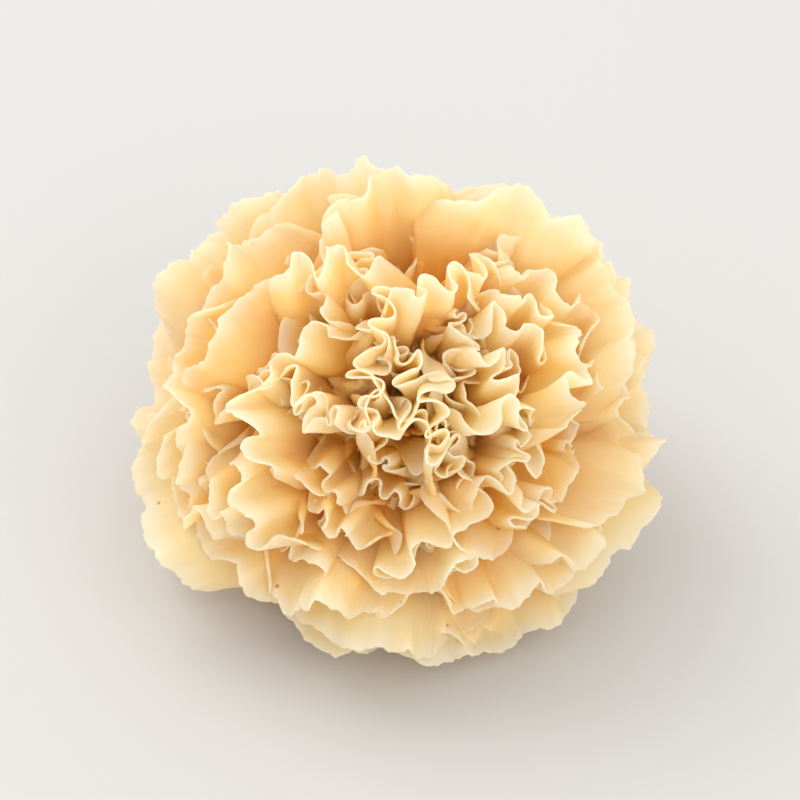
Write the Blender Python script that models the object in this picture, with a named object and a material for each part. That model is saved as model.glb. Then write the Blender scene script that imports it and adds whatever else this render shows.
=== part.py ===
"""A dried snow fungus, the frilly pale head sold whole for soups and teas.

The head is one natural body. Broad ruffled fronds stand in whorls round an axis that leans to the front,
and all of them grow from one hard root that was cut off flat underneath. The head rests on that cut.
Units are metres, +Z is up, the origin is the middle of the cut, and the front faces -Y.
"""

import math

import bmesh
import bpy
import numpy as np
from mathutils import Vector, noise

MM = 0.001

# Driving dimensions of the whole head
HEAD_HALF_WIDTH = 43 * MM
HEAD_HALF_DEPTH = 40 * MM
HEAD_RISE = 43 * MM
HEAD_DROP = 33 * MM
HEART_HEIGHT = 26 * MM
HEART = np.array((0.0, 2.0 * MM, HEART_HEIGHT))
AXIS_LEAN = math.radians(42)
AXIS_TURN = math.radians(10)
SHAPE_UNEVENNESS = 0.09
SHAPE_GRAIN = 1.6

# The hard root underneath and the heart where the fronds meet
CUT_RADIUS = 15 * MM
ROOT_WAIST_RADIUS = 12 * MM
ROOT_OVERRUN = 4 * MM
ROOT_SIDES = 18
ROOT_BUMPS = 0.10
ROOT_BUMP_GRAIN = 90
HEART_SHARE = 0.72
HEART_BUMPS = 0.10
HEART_BUMP_GRAIN = 3.0

# One whorl of fronds: degrees from the leaning axis, number of fronds, length of the rim, length of one
# ruffle, swing of the ruffle at the rim, recurve, degrees of roll, and reach as a share of the head's
# outside. The crown's fronds are small and tightly ruffled, and the side ones are broad and shell-like.
WHORLS = (
    (7, 4, 34 * MM, 11 * MM, 1.65, 0.10, 85, 1.0),
    (21, 8, 35 * MM, 12 * MM, 1.60, 0.20, 80, 1.0),
    (35, 10, 36 * MM, 14 * MM, 1.45, 0.30, 65, 1.0),
    (50, 10, 41 * MM, 21 * MM, 1.10, 0.35, 45, 1.0),
    (67, 10, 45 * MM, 27 * MM, 0.95, 0.45, 30, 1.0),
    (85, 10, 47 * MM, 30 * MM, 0.85, 0.50, 22, 1.0),
    (103, 10, 46 * MM, 28 * MM, 0.90, 0.45, 24, 1.0),
    (121, 10, 43 * MM, 24 * MM, 1.10, 0.35, 32, 1.0),
    (140, 8, 41 * MM, 21 * MM, 1.30, 0.30, 38, 1.0),
    (159, 6, 37 * MM, 17 * MM, 1.50, 0.20, 48, 1.0),
)

# The frondlets are the small late fronds that crowd up in the gaps between the others
SMALL_WHORLS = (
    (4, 3, 24 * MM, 8 * MM, 1.60, 0.10, 90, 0.94),
    (18, 7, 28 * MM, 9 * MM, 1.60, 0.15, 80, 0.94),
    (36, 11, 29 * MM, 10 * MM, 1.55, 0.25, 75, 0.93),
    (54, 12, 30 * MM, 11 * MM, 1.50, 0.35, 65, 0.91),
    (73, 12, 31 * MM, 12 * MM, 1.45, 0.40, 55, 0.89),
    (92, 12, 31 * MM, 12 * MM, 1.45, 0.40, 55, 0.89),
    (111, 12, 31 * MM, 11 * MM, 1.45, 0.35, 55, 0.89),
    (130, 11, 30 * MM, 11 * MM, 1.50, 0.30, 60, 0.90),
    (149, 8, 29 * MM, 10 * MM, 1.50, 0.25, 60, 0.90),
)

# The limits and the unevenness that all the whorls share
LOWEST_AIM = math.radians(-44)
AIM_JITTER = math.radians(8)
TURN_JITTER = 0.25
RIM_JITTER = 0.22
REACH_JITTER = 0.08
RECURVE_JITTER = 0.5

# Neighbouring fronds drift aside together, which breaks the whorls up into an uneven, natural crowd.
# The frondlets drift the other way, into the gaps that this leaves. Blender's vector noise starts from
# the clock unless it is given a seed, and the head has to come out the same each time.
FROND_DRIFT = 0.34
FRONDLET_DRIFT = -0.14
DRIFT_GRAIN = 1.7
DRIFT_SEED = 7

# The form of one frond
FROND_THICKNESS = 2.3 * MM
ROOT_REACH = 18 * MM
ROOT_SHARE = 0.40
SIDE_ROUNDING = 0.26
CORNER_ROUNDING = 0.20
RUFFLE_GROWTH = 1.2
WANDER = 0.7
WANDER_PACE = 2.4
UNEVEN_SWING = 0.25
UNEVEN_PACE = 5.1
LOWEST_TIP = 1.9 * MM
FLOOR_SOFTNESS = 2.6 * MM
COLUMN_LENGTH = 2.6 * MM
FROND_ROWS = 6
FINE_STEPS = 8

# The skin that the fronds share where they have grown together
SKIN_GRAIN = 0.75 * MM
PINCH = 0.001 * MM
MOST_TRIANGLES = 9300
CREASE_ANGLE = math.radians(50)

SEED = 14


def clear_scene():
    for obj in list(bpy.data.objects):
        bpy.data.objects.remove(obj)


def fungus_material():
    """Dried pale flesh: warm cream, dull, with no metal."""
    material = bpy.data.materials.new("dried_flesh")
    material.use_nodes = True
    shader = material.node_tree.nodes["Principled BSDF"]
    shader.inputs["Base Color"].default_value = (0.93, 0.74, 0.42, 1.0)
    shader.inputs["Roughness"].default_value = 0.55
    shader.inputs["Metallic"].default_value = 0.0
    return material


def head_reach(direction):
    """Distance from the heart to the outside of the head in one direction."""
    upright = HEAD_RISE if direction[2] > 0 else HEAD_DROP
    radii = np.array((HEAD_HALF_WIDTH, HEAD_HALF_DEPTH, upright))
    plain = 1 / np.linalg.norm(direction / radii)
    return plain * (1 + SHAPE_UNEVENNESS * noise.noise(Vector(direction * SHAPE_GRAIN)))


def frond_list(whorls, drift, random):
    """Every frond of the whorls as a dictionary: where it aims, how wide it is and how it ruffles."""
    lean = np.array(
        (
            math.sin(AXIS_TURN) * math.sin(AXIS_LEAN),
            -math.cos(AXIS_TURN) * math.sin(AXIS_LEAN),
            math.cos(AXIS_LEAN),
        )
    )
    side = np.array((math.cos(AXIS_TURN), math.sin(AXIS_TURN), 0.0))
    front = np.cross(lean, side)
    fronds = []
    for number, (polar_degrees, count, rim, ruffle, swing, recurve, roll, share) in enumerate(whorls):
        for place in range(count):
            jitter = random.uniform(-1, 1, 6)
            phase = random.uniform(0, 2 * math.pi, 3)
            polar = math.radians(polar_degrees) + AIM_JITTER * jitter[0]
            turn = 2 * math.pi * (place + 0.5 * (number % 2) + TURN_JITTER * jitter[1]) / count
            outward = math.cos(turn) * side + math.sin(turn) * front
            aim = math.cos(polar) * lean + math.sin(polar) * outward
            aim += drift * np.array(noise.noise_vector(Vector(aim * DRIFT_GRAIN)))
            aim /= np.linalg.norm(aim)
            if math.asin(aim[2]) < LOWEST_AIM:
                continue
            out = math.cos(polar) * outward - math.sin(polar) * lean
            out -= np.dot(out, aim) * aim
            fronds.append(
                {
                    "aim": aim,
                    "out": out / np.linalg.norm(out),
                    "roll": math.radians(roll) * jitter[2],
                    "rim": rim * (1 + RIM_JITTER * jitter[3]),
                    "ruffle": ruffle,
                    "swing": swing,
                    "recurve": recurve * (1 + RECURVE_JITTER * jitter[4]),
                    "reach": share * head_reach(aim) * (1 + REACH_JITTER * jitter[5]),
                    "phase": phase,
                }
            )
    return fronds


def frond_surface(frond, across, along):
    """Points of the frond's middle surface, for arrays of places across (-1 to 1) and along (0 to 1).

    The rim is much longer than the space it has, so each line across the sheet swings to and fro like a
    meandering stream. Its direction swings by an angle that grows from nothing at the root."""
    first, second, third = frond["phase"]
    waves = frond["rim"] / frond["ruffle"]
    wander = WANDER * np.sin(WANDER_PACE * across + second)
    uneven = UNEVEN_SWING * np.sin(UNEVEN_PACE * across + third)
    swing = frond["swing"] * (np.sin(math.pi * waves * across + first + wander) + uneven)
    steps = np.diff(across, prepend=across[0])
    middle = len(across) // 2
    aim = frond["aim"]
    out = math.cos(frond["roll"]) * frond["out"] + math.sin(frond["roll"]) * np.cross(aim, frond["out"])
    wide = np.cross(out, aim)
    length = frond["reach"] - ROOT_REACH
    bend = frond["recurve"]
    rows = []
    for part in along:
        angle = part**RUFFLE_GROWTH * swing
        half = 0.5 * frond["rim"] * (ROOT_SHARE + (1 - ROOT_SHARE) * part)
        sideways = half * np.cumsum(np.cos(angle) * steps)
        ruffle = half * np.cumsum(np.sin(angle) * steps)
        sideways -= sideways[middle]
        ruffle -= 0.5 * (ruffle.max() + ruffle.min())
        forward = length * (part - bend**2 * part**5 / 10)
        aside = length * bend * part**3 / 3
        lean = bend * part**2
        normal = math.cos(lean) * out - math.sin(lean) * aim
        rounding = 1 - SIDE_ROUNDING * np.abs(across) ** 3 * part
        rounding -= CORNER_ROUNDING * np.abs(across) ** 10 * part**2
        drop = sideways**2 / (2 * frond["reach"]) * part
        rows.append(
            HEART
            + np.outer(ROOT_REACH + forward * rounding - drop, aim)
            + aside * out
            + np.outer(sideways, wide)
            + np.outer(ruffle, normal)
        )
    points = np.array(rows)
    above = (points[..., 2] - LOWEST_TIP) / FLOOR_SOFTNESS
    points[..., 2] = LOWEST_TIP + FLOOR_SOFTNESS * np.logaddexp(0, above)
    return points


def helper_object(name, mesh):
    """Puts a finished bmesh into a helper object, which only lends its form to the head."""
    data = bpy.data.meshes.new(name)
    mesh.to_mesh(data)
    mesh.free()
    helper = bpy.data.objects.new(name, data)
    helper.hide_render = True
    helper.display_type = "WIRE"
    return helper


def frond_solid(name, frond):
    """One frond as a thick sheet."""
    columns = round(frond["rim"] / COLUMN_LENGTH)
    across = np.linspace(-1, 1, columns * FINE_STEPS + 1)
    along = np.linspace(0, 1, FROND_ROWS + 1)
    points = frond_surface(frond, across, along)[:, ::FINE_STEPS]
    mesh = bmesh.new()
    bmesh.ops.create_grid(mesh, x_segments=columns, y_segments=FROND_ROWS, size=1)
    for vertex in mesh.verts:
        column = round((vertex.co.x + 1) / 2 * columns)
        row = round((vertex.co.y + 1) / 2 * FROND_ROWS)
        vertex.co = points[row, column]
    helper = helper_object(name, mesh)
    thick = helper.modifiers.new("thickness", "SOLIDIFY")
    thick.thickness = FROND_THICKNESS
    thick.offset = 0
    return helper


def heart_solid():
    """The lumpy middle, a smaller copy of the head's outside, where the bases of the fronds crowd together."""
    mesh = bmesh.new()
    bmesh.ops.create_icosphere(mesh, subdivisions=4, radius=1)
    for vertex in mesh.verts:
        lump = 1 + HEART_BUMPS * noise.noise(vertex.co * HEART_BUMP_GRAIN)
        vertex.co *= HEART_SHARE * lump * head_reach(np.array(vertex.co))
    bmesh.ops.translate(mesh, verts=mesh.verts, vec=HEART)
    return helper_object("heart", mesh)


def root_solid():
    """The hard root. It runs on below the surface, where the flat cut takes its end off."""
    mesh = bmesh.new()
    bmesh.ops.create_cone(
        mesh, cap_ends=True, segments=ROOT_SIDES, radius1=CUT_RADIUS, radius2=ROOT_WAIST_RADIUS,
        depth=HEART_HEIGHT,
    )
    for vertex in mesh.verts:
        bump = 1 + ROOT_BUMPS * noise.noise(vertex.co * ROOT_BUMP_GRAIN)
        vertex.co.x *= bump
        vertex.co.y *= bump
    bmesh.ops.translate(mesh, verts=mesh.verts, vec=(0, 0, HEART_HEIGHT / 2 - ROOT_OVERRUN))
    return helper_object("root", mesh)


def outer_skin(mesh):
    """Keeps the faces that join on to the outside of the head, and drops the walls of closed pockets."""
    left = set(mesh.faces)
    outermost = max(mesh.faces, key=lambda face: face.calc_center_median().x)
    reached = [outermost]
    left.discard(outermost)
    while reached:
        beside = {near for edge in reached.pop().edges for near in edge.link_faces} & left
        left -= beside
        reached.extend(beside)
    bmesh.ops.delete(mesh, geom=list(left), context="FACES")


def cut_flat(mesh):
    """Cuts the root off flat at the height of the surface and closes the cut."""
    cut = bmesh.ops.bisect_plane(
        mesh, geom=mesh.verts[:] + mesh.edges[:] + mesh.faces[:], plane_co=(0, 0, 0), plane_no=(0, 0, 1),
        clear_inner=True,
    )
    rim = [item for item in cut["geom_cut"] if isinstance(item, bmesh.types.BMEdge)]
    bmesh.ops.holes_fill(mesh, edges=rim)


def open_pinches(mesh):
    """Draws each edge that two walls share down to a point, so that walls touch at a corner at most."""
    bmesh.ops.remove_doubles(mesh, verts=mesh.verts, dist=PINCH)
    pinched = [edge for edge in mesh.edges if len(edge.link_faces) > 2]
    while pinched:
        bmesh.ops.collapse(mesh, edges=pinched)
        pinched = [edge for edge in mesh.edges if len(edge.link_faces) > 2]


def evaluated_mesh(obj):
    bpy.context.view_layer.update()
    graph = bpy.context.evaluated_depsgraph_get()
    return bpy.data.meshes.new_from_object(obj.evaluated_get(graph))


def fronds_together():
    """One object that holds the heart, the root and every frond as closed forms that overlap."""
    noise.seed_set(DRIFT_SEED)
    fronds = frond_list(WHORLS, FROND_DRIFT, np.random.default_rng(SEED))
    frondlets = frond_list(SMALL_WHORLS, FRONDLET_DRIFT, np.random.default_rng(SEED + 1))
    helpers = [heart_solid(), root_solid()]
    for number, frond in enumerate(fronds + frondlets):
        helpers.append(frond_solid(f"frond_{number:03d}", frond))
    mesh = bmesh.new()
    for helper in helpers:
        bpy.context.scene.collection.objects.link(helper)
        mesh.from_mesh(evaluated_mesh(helper))
        bpy.data.objects.remove(helper)
    data = bpy.data.meshes.new("fruiting_body")
    mesh.to_mesh(data)
    mesh.free()
    body = bpy.data.objects.new("fruiting_body", data)
    bpy.context.scene.collection.objects.link(body)
    return body


def main():
    clear_scene()
    body = fronds_together()
    skin = body.modifiers.new("grown_together", "REMESH")
    skin.mode = "VOXEL"
    skin.voxel_size = SKIN_GRAIN
    body.data = evaluated_mesh(body)
    body.modifiers.clear()

    fewer = body.modifiers.new("fewer_facets", "DECIMATE")
    fewer.ratio = MOST_TRIANGLES / (2 * len(body.data.polygons))
    grown = evaluated_mesh(body)
    body.modifiers.clear()
    body.data = grown

    mesh = bmesh.new()
    mesh.from_mesh(grown)
    cut_flat(mesh)
    bmesh.ops.triangulate(mesh, faces=mesh.faces)
    open_pinches(mesh)
    outer_skin(mesh)
    mesh.to_mesh(grown)
    mesh.free()
    grown.name = body.name
    grown.materials.clear()
    grown.materials.append(fungus_material())
    grown.shade_smooth()
    grown.set_sharp_from_angle(angle=CREASE_ANGLE)


if __name__ == "__main__":
    main()
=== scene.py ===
"""A dried snow fungus head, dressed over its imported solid. Metres, +Z up, front towards -Y."""

import math

import bmesh
import bpy
import numpy as np
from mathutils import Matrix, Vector, noise


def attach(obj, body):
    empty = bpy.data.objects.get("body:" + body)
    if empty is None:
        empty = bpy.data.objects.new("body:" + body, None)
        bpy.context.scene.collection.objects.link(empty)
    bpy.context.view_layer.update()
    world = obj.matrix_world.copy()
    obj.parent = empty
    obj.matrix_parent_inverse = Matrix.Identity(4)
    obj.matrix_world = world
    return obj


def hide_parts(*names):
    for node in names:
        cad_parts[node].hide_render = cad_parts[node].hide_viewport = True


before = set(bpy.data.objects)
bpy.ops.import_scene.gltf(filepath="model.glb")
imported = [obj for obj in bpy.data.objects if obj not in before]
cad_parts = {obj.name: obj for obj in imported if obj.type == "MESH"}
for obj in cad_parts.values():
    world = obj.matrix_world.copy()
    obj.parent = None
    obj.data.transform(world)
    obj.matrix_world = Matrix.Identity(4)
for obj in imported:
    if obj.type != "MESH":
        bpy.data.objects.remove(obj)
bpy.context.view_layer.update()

# The camera looks down on the head as the photograph does, from the front and well above the table.
# A long lens keeps the round head from swelling towards the viewer.
MM = 0.001
VIEW_ELEVATION = math.radians(42)
VIEW_DISTANCE = 0.60
VIEW_TARGET = Vector((0, 0, 32 * MM))
away = Vector((0, -math.cos(VIEW_ELEVATION), math.sin(VIEW_ELEVATION)))
camera_data = bpy.data.cameras.new("camera")
camera_data.lens = 168
camera = bpy.data.objects.new("camera", camera_data)
camera.location = VIEW_TARGET + away * VIEW_DISTANCE
camera.rotation_euler = (-away).to_track_quat("-Z", "Y").to_euler()
bpy.context.scene.collection.objects.link(camera)
bpy.context.scene.camera = camera
bpy.context.scene.view_settings.view_transform = "Standard"

# The table is a plain pale sheet, far wider than the head, that takes a soft shadow.
FLOOR_HALF = 1.5
floor_mesh = bmesh.new()
bmesh.ops.create_grid(floor_mesh, x_segments=1, y_segments=1, size=FLOOR_HALF)
floor_data = bpy.data.meshes.new("floor")
floor_mesh.to_mesh(floor_data)
floor_mesh.free()
floor = bpy.data.objects.new("floor", floor_data)
bpy.context.scene.collection.objects.link(floor)
floor_paint = bpy.data.materials.new("pale_table")
floor_paint.use_nodes = True
floor_shader = floor_paint.node_tree.nodes["Principled BSDF"]
floor_shader.inputs["Base Color"].default_value = (0.56, 0.555, 0.545, 1)
floor_shader.inputs["Roughness"].default_value = 0.7
floor_shader.inputs["Specular IOR Level"].default_value = 0.2
floor_data.materials.append(floor_paint)

# Soft studio light: a broad warm-white key from behind on the left, a weaker fill in front and a pale sky.
LIGHTS = (
    ("key", (-0.45, 0.25, 0.75), 0.60, 3.0, (1.0, 0.985, 0.96)),
    ("fill", (0.40, -0.65, 0.50), 0.70, 2.0, (1.0, 0.99, 0.97)),
)
for name, place, side, watts, colour in LIGHTS:
    light_data = bpy.data.lights.new(name, "AREA")
    light_data.shape = "SQUARE"
    light_data.size = side
    light_data.energy = watts
    light_data.color = colour
    light = bpy.data.objects.new(name, light_data)
    light.location = place
    light.rotation_euler = (VIEW_TARGET - Vector(place)).to_track_quat("-Z", "Y").to_euler()
    bpy.context.scene.collection.objects.link(light)
sky = bpy.data.worlds.new("sky")
sky.use_nodes = True
sky.node_tree.nodes["Background"].inputs["Color"].default_value = (1.0, 0.995, 0.985, 1)
sky.node_tree.nodes["Background"].inputs["Strength"].default_value = 1.15
bpy.context.scene.world = sky

# The hard root is the woody foot where every frond starts, and the lumpy heart above it is the crowd of
# their bases. It is dense dried flesh, darker than the fronds, and a knife left its underside flat.
HEART = np.array((0.0, 2.0 * MM, 26 * MM))
HEAD_HALF_WIDTH = 43 * MM
HEAD_HALF_DEPTH = 40 * MM
HEAD_RISE = 43 * MM
HEAD_DROP = 33 * MM
SHAPE_UNEVENNESS = 0.09
SHAPE_GRAIN = 1.6
HEART_SHARE = 0.60
HEART_DIVISIONS = 6
LUMP_DEPTH = 0.10
LUMP_GRAIN = 3
WRINKLE_DEPTH = 0.03
WRINKLE_GRAIN = 19
FOLD_DEPTH = 0.13
FOLD_GRAIN = 8.0
FOLD_SHARPNESS = 3
ROOT_CUT_RADIUS = 15 * MM
ROOT_WAIST_RADIUS = 12 * MM
ROOT_HEIGHT = 22 * MM
ROOT_SIDES = 72


def head_reach(direction):
    """Distance from the heart to the outside of the head in one direction."""
    upright = HEAD_RISE if direction[2] > 0 else HEAD_DROP
    plain = 1 / np.linalg.norm(direction / np.array((HEAD_HALF_WIDTH, HEAD_HALF_DEPTH, upright)))
    return plain * (1 + SHAPE_UNEVENNESS * noise.noise(Vector(direction * SHAPE_GRAIN)))


def node_of(tree, kind, **sockets):
    """A new shader node with its sockets set, or linked where the value is another node's output."""
    made = tree.nodes.new(kind)
    for label, value in sockets.items():
        socket = made.inputs[label.replace("_", " ")]
        if isinstance(value, bpy.types.NodeSocket):
            tree.links.new(value, socket)
        else:
            socket.default_value = value
    return made


def colour_ramp(tree, factor, stops):
    """The colour that a factor picks between the stops, each one a position and a colour."""
    ramp = tree.nodes.new("ShaderNodeValToRGB")
    ramp.color_ramp.elements.remove(ramp.color_ramp.elements[1])
    ramp.color_ramp.elements[0].position, ramp.color_ramp.elements[0].color = stops[0]
    for position, colour in stops[1:]:
        ramp.color_ramp.elements.new(position).color = colour
    tree.links.new(factor, ramp.inputs["Fac"])
    return ramp.outputs["Color"]


def mottle_group():
    """Uneven drying: a wide cloud and a fine grain, both read from the object's own coordinates."""
    group = bpy.data.node_groups.new("uneven_drying", "ShaderNodeTree")
    group.interface.new_socket("Cloud Scale", in_out="INPUT", socket_type="NodeSocketFloat")
    group.interface.new_socket("Grain Scale", in_out="INPUT", socket_type="NodeSocketFloat")
    group.interface.new_socket("Cloud", in_out="OUTPUT", socket_type="NodeSocketFloat")
    group.interface.new_socket("Grain", in_out="OUTPUT", socket_type="NodeSocketFloat")
    given = group.nodes.new("NodeGroupInput")
    result = group.nodes.new("NodeGroupOutput")
    place = group.nodes.new("ShaderNodeTexCoord").outputs["Object"]
    for label in ("Cloud", "Grain"):
        size = given.outputs[f"{label} Scale"]
        pattern = node_of(group, "ShaderNodeTexNoise", Vector=place, Scale=size, Detail=1.0)
        group.links.new(pattern.outputs["Fac"], result.inputs[label])
    return group


uneven_drying = mottle_group()


def placed_group(tree, group, **values):
    """A shader node group placed in a material, with this material's own values."""
    made = tree.nodes.new("ShaderNodeGroup")
    made.node_tree = group
    for label, value in values.items():
        made.inputs[label.replace("_", " ")].default_value = value
    return made


def root_flesh():
    """Hard dried root: ochre to pale gold with a dull grainy surface."""
    material = bpy.data.materials.new("root_flesh")
    material.use_nodes = True
    tree = material.node_tree
    shader = tree.nodes["Principled BSDF"]
    drying = placed_group(tree, uneven_drying, Cloud_Scale=130.0, Grain_Scale=900.0)
    colour = colour_ramp(
        tree, drying.outputs["Cloud"],
        ((0.30, (0.92, 0.55, 0.14, 1)), (0.50, (0.97, 0.68, 0.25, 1)), (0.72, (0.98, 0.77, 0.36, 1))),
    )
    tree.links.new(colour, shader.inputs["Base Color"])
    shader.inputs["Roughness"].default_value = 0.7
    bump = node_of(tree, "ShaderNodeBump", Height=drying.outputs["Grain"], Strength=0.7, Distance=0.5 * MM)
    tree.links.new(bump.outputs["Normal"], shader.inputs["Normal"])
    return material


def finished(name, data, material):
    """The object of a finished mesh, riding on the part and standing for the solid head."""
    data.materials.append(material)
    data.shade_smooth()
    piece = bpy.data.objects.new(name, data)
    bpy.context.scene.collection.objects.link(piece)
    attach(piece, "root")
    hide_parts("fruiting_body")
    return piece


root_mesh = bmesh.new()
bmesh.ops.create_icosphere(root_mesh, subdivisions=HEART_DIVISIONS, radius=1)
for vertex in root_mesh.verts:
    lumps = 1 + LUMP_DEPTH * noise.noise(vertex.co * LUMP_GRAIN)
    lumps += WRINKLE_DEPTH * noise.noise(vertex.co * WRINKLE_GRAIN)
    folds = FOLD_DEPTH * (1 - FOLD_SHARPNESS * abs(noise.noise(vertex.co * FOLD_GRAIN)))
    vertex.co *= HEART_SHARE * (lumps + folds) * head_reach(np.array(vertex.co))
bmesh.ops.translate(root_mesh, verts=root_mesh.verts, vec=HEART)
foot = bmesh.ops.create_cone(
    root_mesh, cap_ends=True, segments=ROOT_SIDES, radius1=ROOT_CUT_RADIUS, radius2=ROOT_WAIST_RADIUS,
    depth=ROOT_HEIGHT,
)["verts"]
bmesh.ops.translate(root_mesh, verts=foot, vec=(0, 0, ROOT_HEIGHT / 2))
root_data = bpy.data.meshes.new("root")
root_mesh.to_mesh(root_data)
root_mesh.free()
finished("root", root_data, root_flesh())

# The fronds are thin dried sheets, each one wide and ruffled like a lettuce leaf because its rim grew much
# longer than the space it had. They stand in whorls round an axis that leans towards the viewer: small and
# tightly ruffled at the crown, broad and shell-like at the sides.
# Blender's vector noise starts from the clock unless it is given a seed, and the head has to stay the same.
DRIFT_SEED = 7
noise.seed_set(DRIFT_SEED)
AXIS_LEAN = math.radians(42)
AXIS_TURN = math.radians(10)
LOWEST_AIM = math.radians(-44)
AIM_JITTER = math.radians(8)
TURN_JITTER = 0.25
RIM_JITTER = 0.22
REACH_JITTER = 0.08
RECURVE_JITTER = 0.5
FROND_DRIFT = 0.34
DRIFT_GRAIN = 1.7
SEED = 14
# One whorl: degrees from the leaning axis, number of fronds, length of the rim, length of one ruffle,
# swing of the ruffle at the rim, recurve, degrees of roll, and reach as a share of the head's outside
WHORLS = (
    (7, 4, 34 * MM, 11 * MM, 1.65, 0.10, 85, 1.0),
    (21, 8, 35 * MM, 12 * MM, 1.60, 0.20, 80, 1.0),
    (35, 10, 36 * MM, 14 * MM, 1.45, 0.30, 65, 1.0),
    (50, 10, 41 * MM, 21 * MM, 1.10, 0.35, 45, 1.0),
    (67, 10, 45 * MM, 27 * MM, 0.95, 0.45, 30, 1.0),
    (85, 10, 47 * MM, 30 * MM, 0.85, 0.50, 22, 1.0),
    (103, 10, 46 * MM, 28 * MM, 0.90, 0.45, 24, 1.0),
    (121, 10, 43 * MM, 24 * MM, 1.10, 0.35, 32, 1.0),
    (140, 8, 41 * MM, 21 * MM, 1.30, 0.30, 38, 1.0),
    (159, 6, 37 * MM, 17 * MM, 1.50, 0.20, 48, 1.0),
)
LEAN = np.array(
    (
        math.sin(AXIS_TURN) * math.sin(AXIS_LEAN),
        -math.cos(AXIS_TURN) * math.sin(AXIS_LEAN),
        math.cos(AXIS_LEAN),
    )
)
SIDE = np.array((math.cos(AXIS_TURN), math.sin(AXIS_TURN), 0.0))
FRONT = np.cross(LEAN, SIDE)
ROOT_REACH = 18 * MM
ROOT_SHARE = 0.40
SIDE_ROUNDING = 0.26
CORNER_ROUNDING = 0.20
RUFFLE_GROWTH = 1.2
WANDER = 0.7
WANDER_PACE = 2.4
UNEVEN_SWING = 0.25
UNEVEN_PACE = 5.1
LOWEST_TIP = 1.9 * MM
FLOOR_SOFTNESS = 2.6 * MM
CRIMP_LENGTH = 4.8 * MM
CRIMP_SWING = 0.48
LOBE_LENGTH = 14 * MM
LOBE_HEIGHT = 1.2 * MM
TOOTH_LENGTH = 2.3 * MM
TOOTH_HEIGHT = 0.24 * MM
CURL_LENGTH = 13 * MM
CURL_DEPTH = 1.5 * MM
WARP_GRAIN = 75
WARP_DEPTH = 1.1 * MM
CREASE_GRAIN = 240
CREASE_DEPTH = 0.30 * MM
FROND_THICKNESS = 0.55 * MM
RIM_THICKNESS_SHARE = 0.55
BURIED_SHARE = 0.12
RIM_CROWDING = 1.6
CRIMP_GROWTH = 3
CURL_GROWTH = 6
LOBE_GROWTH = 4
TEETH_GROWTH = 12
SIDE_POWER = 3
CORNER_POWER = 10
WARP_RISE = 0.5
THINNING_POWER = 3
FROND_COLUMN = 0.38 * MM
FROND_ROWS = 14
# The waves that an uneven wave adds up: height, pace, and share of the phase
WAVES = ((0.55, 1.0, 1.0), (0.30, 1.63, 2.1), (0.15, 2.7, 0.0))


def whorl_fronds(whorls, drift, random):
    """Every frond of the whorls as a dictionary, whorl by whorl."""
    whorled = []
    for number, (polar_degrees, count, rim, ruffle, swing, recurve, roll, share) in enumerate(whorls):
        fronds = []
        for place in range(count):
            jitter = random.uniform(-1, 1, 6)
            phase = random.uniform(0, 2 * math.pi, 3)
            polar = math.radians(polar_degrees) + AIM_JITTER * jitter[0]
            turn = 2 * math.pi * (place + 0.5 * (number % 2) + TURN_JITTER * jitter[1]) / count
            outward = math.cos(turn) * SIDE + math.sin(turn) * FRONT
            aim = math.cos(polar) * LEAN + math.sin(polar) * outward
            aim += drift * np.array(noise.noise_vector(Vector(aim * DRIFT_GRAIN)))
            aim /= np.linalg.norm(aim)
            if math.asin(aim[2]) < LOWEST_AIM:
                continue
            out = math.cos(polar) * outward - math.sin(polar) * LEAN
            out -= np.dot(out, aim) * aim
            fronds.append(
                {
                    "aim": aim,
                    "out": out / np.linalg.norm(out),
                    "roll": math.radians(roll) * jitter[2],
                    "rim": rim * (1 + RIM_JITTER * jitter[3]),
                    "ruffle": ruffle,
                    "swing": swing,
                    "recurve": recurve * (1 + RECURVE_JITTER * jitter[4]),
                    "outside": head_reach(aim),
                    "reach": share * head_reach(aim) * (1 + REACH_JITTER * jitter[5]),
                    "phase": phase,
                }
            )
        whorled.append(fronds)
    return whorled


def uneven_wave(place, length, phase):
    """A wave whose crests come at uneven steps of about one length, between -1 and 1."""
    turn = 2 * math.pi * place / length
    return sum(height * np.sin(pace * turn + share * phase) for height, pace, share in WAVES)


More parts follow.
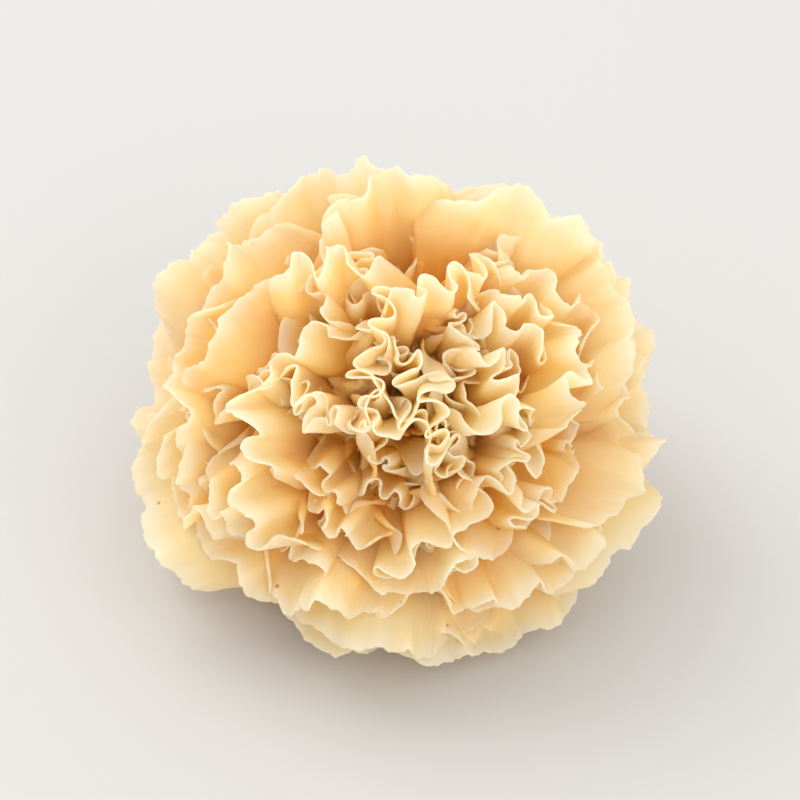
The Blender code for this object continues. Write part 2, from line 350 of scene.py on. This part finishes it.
def frond_surface(frond, across, along):
    """Points of the frond's middle surface, for arrays of places across (-1 to 1) and along (0 to 1).

    Each line across the sheet swings to and fro like a meandering stream, by an angle that grows from
    nothing at the root to the full swing at the rim. The finest shapes grow with the higher powers of
    the place along, so they show near the rim alone."""
    first, second, third = frond["phase"]
    waves = frond["rim"] / frond["ruffle"]
    wander = WANDER * np.sin(WANDER_PACE * across + second)
    uneven = UNEVEN_SWING * np.sin(UNEVEN_PACE * across + third)
    swing = frond["swing"] * (np.sin(math.pi * waves * across + first + wander) + uneven)
    rim_place = 0.5 * frond["rim"] * across
    crimp = CRIMP_SWING * uneven_wave(rim_place, CRIMP_LENGTH, first + third)
    lobes = LOBE_HEIGHT * uneven_wave(rim_place, LOBE_LENGTH, second)
    teeth = TOOTH_HEIGHT * uneven_wave(rim_place, TOOTH_LENGTH, third)
    curl = CURL_DEPTH * uneven_wave(rim_place, CURL_LENGTH, first)
    steps = np.diff(across, prepend=across[0])
    middle = len(across) // 2
    aim = frond["aim"]
    out = math.cos(frond["roll"]) * frond["out"] + math.sin(frond["roll"]) * np.cross(aim, frond["out"])
    wide = np.cross(out, aim)
    length = frond["reach"] - ROOT_REACH
    bend = frond["recurve"]
    rows = []
    for part in along:
        angle = part**RUFFLE_GROWTH * swing + part**CRIMP_GROWTH * crimp
        half = 0.5 * frond["rim"] * (ROOT_SHARE + (1 - ROOT_SHARE) * part)
        sideways = half * np.cumsum(np.cos(angle) * steps)
        ruffle = half * np.cumsum(np.sin(angle) * steps)
        sideways -= sideways[middle]
        ruffle -= 0.5 * (ruffle.max() + ruffle.min())
        forward = length * (part - bend**2 * part**5 / 10)
        aside = length * bend * part**3 / 3 + part**CURL_GROWTH * curl
        lean = bend * part**2
        normal = math.cos(lean) * out - math.sin(lean) * aim
        rounding = 1 - SIDE_ROUNDING * np.abs(across) ** SIDE_POWER * part
        rounding -= CORNER_ROUNDING * np.abs(across) ** CORNER_POWER * part**2
        drop = sideways**2 / (2 * frond["reach"]) * part
        ragged = part**LOBE_GROWTH * lobes + part**TEETH_GROWTH * teeth
        rows.append(
            HEART
            + np.outer(ROOT_REACH + forward * rounding - drop + ragged, aim)
            + np.outer(aside, out)
            + np.outer(sideways, wide)
            + np.outer(ruffle, normal)
        )
    points = np.array(rows)
    above = (points[..., 2] - LOWEST_TIP) / FLOOR_SOFTNESS
    points[..., 2] = LOWEST_TIP + FLOOR_SOFTNESS * np.logaddexp(0, above)
    return points


def frond_sheet(mesh, layers, frond, columns, rows):
    """Adds one frond to the mesh as a flat grid whose vertices are moved onto the frond's surface."""
    rise = np.linspace(0, 1, rows + 1)
    along = BURIED_SHARE + (1 - BURIED_SHARE) * (1 - (1 - rise) ** RIM_CROWDING)
    across = np.linspace(-1, 1, columns + 1)
    points = frond_surface(frond, across, along)
    uv_layer, weight_layer, depth_layer, rim_layer, tint_layer = layers
    made = bmesh.ops.create_grid(mesh, x_segments=columns, y_segments=rows, size=1)
    for vertex in made["verts"]:
        column = round((vertex.co.x + 1) / 2 * columns)
        row = round((vertex.co.y + 1) / 2 * rows)
        point = Vector(points[row, column])
        rimward = float(along[row])
        warp = noise.noise_vector(point * WARP_GRAIN) * (WARP_DEPTH * rimward)
        crease = noise.noise_vector(point * CREASE_GRAIN) * (CREASE_DEPTH * rimward)
        vertex.co = point + Vector((warp.x, warp.y, WARP_RISE * warp.z)) + crease
        vertex[weight_layer][0] = 1 - rimward**THINNING_POWER
        # Share of the way out from the heart to the head's outside; nearer the heart the colour turns
        # golden, partly the flesh's own tone and partly painted shade.
        vertex[depth_layer] = (point - Vector(HEART)).length / frond["outside"]
        # Share of the way along the frond; near the rim it brings a pale band, partly the flesh's own paler
        # rim and partly a painted highlight.
        vertex[rim_layer] = rimward
        vertex[tint_layer] = frond["phase"][1] / (2 * math.pi)
        for loop in vertex.link_loops:
            loop[uv_layer].uv = (across[column] * frond["rim"] / 2, along[row] * frond["reach"])


def frond_piece(name, fronds, column_length, rows, material):
    """Several fronds as one mesh with a real thickness that thins towards the rims."""
    mesh = bmesh.new()
    layers = (
        mesh.loops.layers.uv.new("sheet"),
        mesh.verts.layers.deform.new(),
        mesh.verts.layers.float.new("depth_share"),
        mesh.verts.layers.float.new("rim_share"),
        mesh.verts.layers.float.new("tint"),
    )
    for frond in fronds:
        frond_sheet(mesh, layers, frond, round(frond["rim"] / column_length), rows)
    data = bpy.data.meshes.new(name)
    mesh.to_mesh(data)
    mesh.free()
    piece = finished(name, data, material)
    piece.vertex_groups.new(name="full_thickness")
    thick = piece.modifiers.new("thickness", "SOLIDIFY")
    thick.thickness = FROND_THICKNESS
    thick.offset = 0
    thick.vertex_group = "full_thickness"
    thick.thickness_vertex_group = RIM_THICKNESS_SHARE


def speck_group():
    """Tiny darker specks, each one small against its cell, in a few cells only."""
    group = bpy.data.node_groups.new("specks", "ShaderNodeTree")
    group.interface.new_socket("Mask", in_out="OUTPUT", socket_type="NodeSocketFloat")
    result = group.nodes.new("NodeGroupOutput")
    place = group.nodes.new("ShaderNodeTexCoord").outputs["Object"]
    cells = node_of(group, "ShaderNodeTexVoronoi", Vector=place, Scale=260.0)
    chosen = node_of(group, "ShaderNodeSeparateColor", Color=cells.outputs["Color"])
    few = node_of(group, "ShaderNodeMapRange", Value=chosen.outputs["Red"])
    few.inputs["From Min"].default_value = 0.95
    few.inputs["From Max"].default_value = 0.97
    near = node_of(group, "ShaderNodeMapRange", Value=cells.outputs["Distance"])
    near.inputs["From Min"].default_value = 0.12
    near.inputs["From Max"].default_value = 0.04
    mask = group.nodes.new("ShaderNodeMath")
    mask.operation = "MULTIPLY"
    group.links.new(few.outputs["Result"], mask.inputs[0])
    group.links.new(near.outputs["Result"], mask.inputs[1])
    group.links.new(mask.outputs[0], result.inputs["Mask"])
    return group


def mixed(tree, factor, under, over):
    """One colour over another by a factor."""
    mix = tree.nodes.new("ShaderNodeMix")
    mix.data_type = "RGBA"
    tree.links.new(factor, mix.inputs["Factor"])
    tree.links.new(under, mix.inputs["A"])
    mix.inputs["B"].default_value = over
    return mix.outputs["Result"]


def attribute_of(tree, name):
    """The value that the mesh keeps at each vertex under a name."""
    attribute = tree.nodes.new("ShaderNodeAttribute")
    attribute.attribute_name = name
    return attribute.outputs["Fac"]


def scaled_sum(tree, value, scale, added):
    """A value times a scale, plus a number or another node's output."""
    made = node_of(tree, "ShaderNodeMath", Value=value)
    made.operation = "MULTIPLY_ADD"
    made.inputs[1].default_value = scale
    if isinstance(added, bpy.types.NodeSocket):
        tree.links.new(added, made.inputs[2])
    else:
        made.inputs[2].default_value = added
    return made.outputs[0]


CLOUD_SHARE = 0.30
CLOUD_SHIFT = -0.18
TINT_SHARE = 0.06
RAGGED_SHARE = 0.22
GRAIN_SHARE = 0.4
PASSING_SHARE = 0.55
FIBRE_STRETCH = (900, 160, 1)


def frond_flesh():
    """Papery dried flesh: pale at the rims, partly its own tone and partly a painted highlight, and golden
    further in, partly its own tone and partly painted shade; faintly waxy, and light shines through it.

    Light that is inside a sheet always passes out of it, so a sheet shines through as one thin layer."""
    material = bpy.data.materials.new("frond_flesh")
    material.use_nodes = True
    tree = material.node_tree
    shader = tree.nodes["Principled BSDF"]
    drying = placed_group(tree, uneven_drying, Cloud_Scale=110.0, Grain_Scale=1400.0)
    cloud = scaled_sum(tree, drying.outputs["Cloud"], CLOUD_SHARE, CLOUD_SHIFT)
    own = scaled_sum(tree, attribute_of(tree, "tint"), TINT_SHARE, cloud)
    # Golden to orange nearer the heart: partly the flesh's own deeper tone near the base, partly painted
    # shade deep in the gaps between the fronds.
    golden_depth_and_shade = colour_ramp(
        tree, scaled_sum(tree, attribute_of(tree, "depth_share"), 1.0, own),
        (
            (0.55, (0.99, 0.62, 0.10, 1)),
            (0.68, (0.99, 0.72, 0.22, 1)),
            (0.82, (0.99, 0.81, 0.42, 1)),
            (0.96, (0.98, 0.86, 0.56, 1)),
        ),
    )
    # A pale cream band along the rims: partly the paler rims of the dried flesh, partly a painted highlight
    # of their thin bright edges.
    ragged = scaled_sum(tree, drying.outputs["Cloud"], RAGGED_SHARE, attribute_of(tree, "rim_share"))
    pale_rim_and_highlight = node_of(tree, "ShaderNodeMapRange", Value=ragged)
    pale_rim_and_highlight.inputs["From Min"].default_value = 0.98
    pale_rim_and_highlight.inputs["From Max"].default_value = 1.10
    plain = mixed(tree, pale_rim_and_highlight.outputs["Result"], golden_depth_and_shade, (0.99, 0.93, 0.75, 1))
    specks = placed_group(tree, speck_group())
    colour = mixed(tree, specks.outputs["Mask"], plain, (0.72, 0.30, 0.05, 1))
    tree.links.new(colour, shader.inputs["Base Color"])
    shader.inputs["Roughness"].default_value = 0.5
    shader.inputs["Specular IOR Level"].default_value = 0.35
    sheet = tree.nodes.new("ShaderNodeUVMap")
    sheet.uv_map = "sheet"
    stretch = node_of(tree, "ShaderNodeMapping", Vector=sheet.outputs["UV"], Scale=FIBRE_STRETCH)
    fibres = node_of(tree, "ShaderNodeTexNoise", Vector=stretch.outputs["Vector"], Scale=1.0, Detail=1.0)
    fibres.noise_dimensions = "2D"
    relief = scaled_sum(tree, drying.outputs["Grain"], GRAIN_SHARE, fibres.outputs["Fac"])
    bump = node_of(tree, "ShaderNodeBump", Height=relief, Strength=0.45, Distance=0.4 * MM)
    tree.links.new(bump.outputs["Normal"], shader.inputs["Normal"])
    glow = node_of(tree, "ShaderNodeBsdfTranslucent", Color=colour)
    inside = tree.nodes.new("ShaderNodeNewGeometry").outputs["Backfacing"]
    passing = node_of(tree, "ShaderNodeMath", Value=inside)
    passing.operation = "MAXIMUM"
    passing.inputs[1].default_value = PASSING_SHARE
    both = tree.nodes.new("ShaderNodeMixShader")
    tree.links.new(passing.outputs[0], both.inputs["Fac"])
    tree.links.new(shader.outputs["BSDF"], both.inputs[1])
    tree.links.new(glow.outputs["BSDF"], both.inputs[2])
    tree.links.new(both.outputs["Shader"], tree.nodes["Material Output"].inputs["Surface"])
    return material


flesh = frond_flesh()
main_whorls = whorl_fronds(WHORLS, FROND_DRIFT, np.random.default_rng(SEED))
# One piece of the visual model: its name, its first whorl, and the whorl that it stops before
GROUPS = (
    ("crown_fronds", 0, 3),
    ("shoulder_fronds", 3, 5),
    ("side_fronds", 5, 7),
    ("back_fronds", 7, 10),
)
for name, first_whorl, end_whorl in GROUPS:
    grouped = [frond for whorl in main_whorls[first_whorl:end_whorl] for frond in whorl]
    frond_piece(name, grouped, FROND_COLUMN, FROND_ROWS, flesh)

# Frondlets are the small late fronds that crowd up between the main ones. They are the same papery flesh,
# shorter and more tightly ruffled, and they drift the other way, into the gaps that the fronds leave.
FRONDLET_DRIFT = -0.14
FRONDLET_COLUMN = 0.42 * MM
FRONDLET_ROWS = 10
SMALL_WHORLS = (
    (4, 3, 24 * MM, 8 * MM, 1.60, 0.10, 90, 0.94),
    (18, 7, 28 * MM, 9 * MM, 1.60, 0.15, 80, 0.94),
    (36, 11, 29 * MM, 10 * MM, 1.55, 0.25, 75, 0.93),
    (54, 12, 30 * MM, 11 * MM, 1.50, 0.35, 65, 0.91),
    (73, 12, 31 * MM, 12 * MM, 1.45, 0.40, 55, 0.89),
    (92, 12, 31 * MM, 12 * MM, 1.45, 0.40, 55, 0.89),
    (111, 12, 31 * MM, 11 * MM, 1.45, 0.35, 55, 0.89),
    (130, 11, 30 * MM, 11 * MM, 1.50, 0.30, 60, 0.90),
    (149, 8, 29 * MM, 10 * MM, 1.50, 0.25, 60, 0.90),
)
small_whorls = whorl_fronds(SMALL_WHORLS, FRONDLET_DRIFT, np.random.default_rng(SEED + 1))
for name, first_whorl, end_whorl in (("front_frondlets", 0, 5), ("back_frondlets", 5, 9)):
    grouped = [frond for whorl in small_whorls[first_whorl:end_whorl] for frond in whorl]
    frond_piece(name, grouped, FRONDLET_COLUMN, FRONDLET_ROWS, flesh)

# The deepest frondlets barely clear the heart. They are stunted folds of the same flesh that fill the bottom
# of the gaps, so that hardly any bare heart shows between the fronds.
DEEP_COLUMN = 0.48 * MM
DEEP_ROWS = 8
DEEP_WHORLS = (
    (12, 6, 22 * MM, 7 * MM, 1.60, 0.20, 90, 0.82),
    (30, 11, 23 * MM, 8 * MM, 1.55, 0.30, 85, 0.81),
    (48, 13, 24 * MM, 8 * MM, 1.50, 0.30, 80, 0.82),
    (66, 14, 24 * MM, 8 * MM, 1.50, 0.30, 80, 0.82),
    (84, 15, 24 * MM, 8 * MM, 1.50, 0.30, 80, 0.82),
    (102, 15, 24 * MM, 8 * MM, 1.50, 0.30, 80, 0.82),
    (120, 14, 24 * MM, 8 * MM, 1.50, 0.30, 80, 0.82),
    (139, 11, 23 * MM, 8 * MM, 1.50, 0.30, 80, 0.82),
)
deep_whorls = whorl_fronds(DEEP_WHORLS, FRONDLET_DRIFT, np.random.default_rng(SEED + 2))
deep_fronds = [frond for whorl in deep_whorls for frond in whorl]
frond_piece("deep_frondlets", deep_fronds, DEEP_COLUMN, DEEP_ROWS, flesh)
